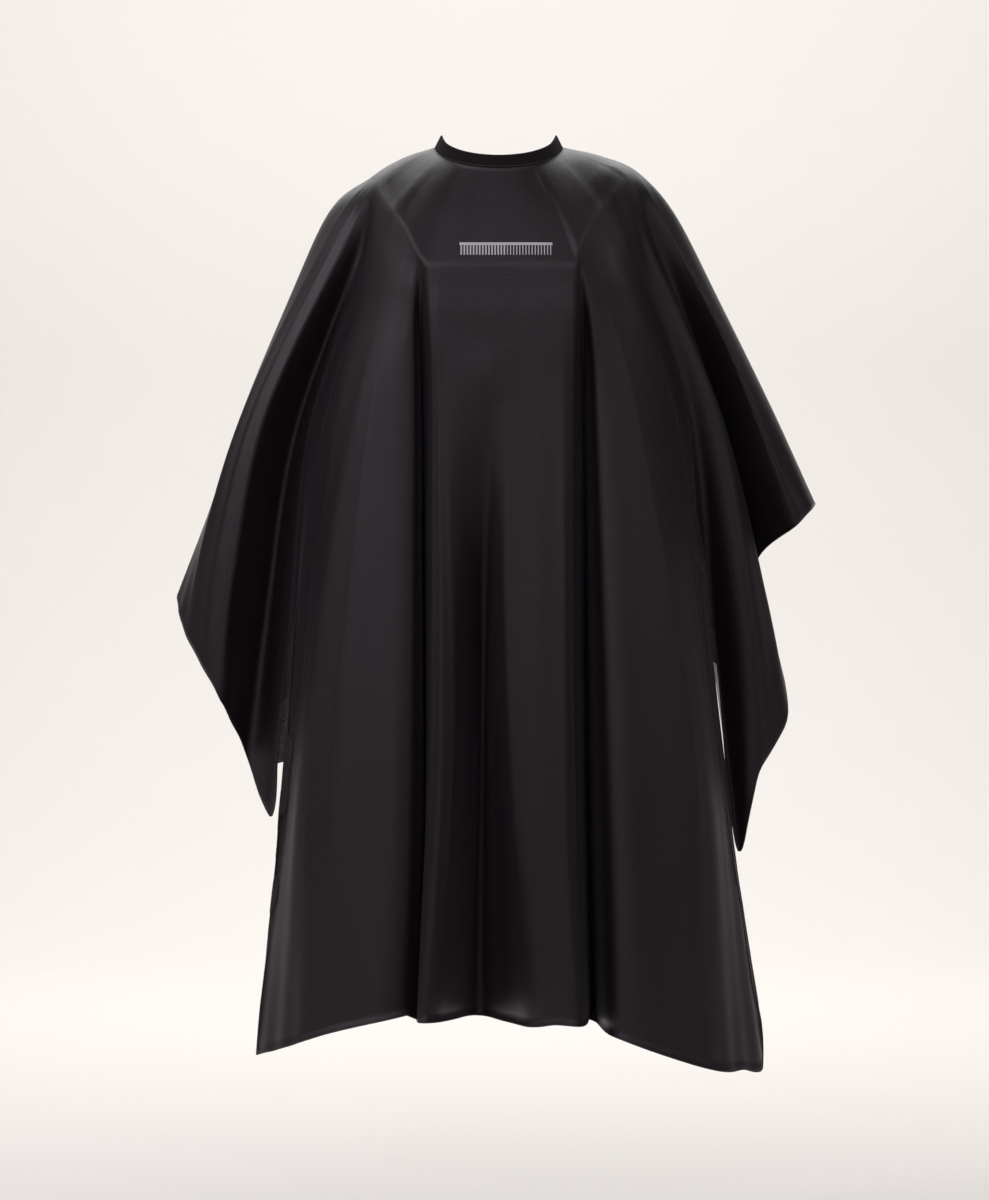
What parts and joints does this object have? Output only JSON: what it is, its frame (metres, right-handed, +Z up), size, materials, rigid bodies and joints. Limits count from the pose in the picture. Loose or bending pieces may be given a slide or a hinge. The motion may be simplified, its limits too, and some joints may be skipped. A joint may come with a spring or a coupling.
{
  "type": "barber cape",
  "caption": "Hairdresser's cape draped as in wear: coated cloth falling in folds from a press-stud neckband, open down the back.",
  "frame": {"origin": "centre of the neck opening, where the wearer's neck holds the cape", "axes": "+X across the shoulders towards the wearer's left, -Y out of the wearer's chest, +Z up"},
  "size_m": [0.7537, 0.4549, 1.0887],
  "materials": {
    "cloth": "satin black coated taffeta",
    "hem": "the same cloth, turned under and stitched",
    "neckband": "matt black ribbed band",
    "snap_metal": "black enamelled press studs"
  },
  "bodies": {
    "cape": {"left_back_cloth": "cloth", "left_back_hem": "hem", "left_front_cloth": "cloth", "left_front_hem": "hem", "left_nape_facing": "hem", "left_wing_cloth": "cloth", "left_wing_hem": "hem", "middle_front_cloth": "cloth", "middle_front_hem": "hem", "neckband_lining": "neckband", "neckband_shell": "neckband", "right_back_cloth": "cloth", "right_back_hem": "hem", "right_front_cloth": "cloth", "right_front_hem": "hem", "right_nape_facing": "hem", "right_wing_cloth": "cloth", "right_wing_hem": "hem", "stud_1": "snap_metal", "stud_2": "snap_metal", "stud_3": "snap_metal", "stud_4": "snap_metal", "stud_5": "snap_metal", "stud_ring_1": "snap_metal", "stud_ring_2": "snap_metal", "stud_ring_3": "snap_metal", "stud_ring_4": "snap_metal", "stud_ring_5": "snap_metal"},
    "tab": {"cap_1": "snap_metal", "cap_2": "snap_metal", "closing_tab": "neckband", "socket_1": "snap_metal", "socket_2": "snap_metal"}
  },
  "joints": [
    {"name": "closing_tab_hinge", "type": "hinge", "parent": "cape", "child": "tab", "pos_m": [-0.0337, 0.0643, 0], "axis": [0, 0, 1], "range_deg": [0, 110]}
  ]
}
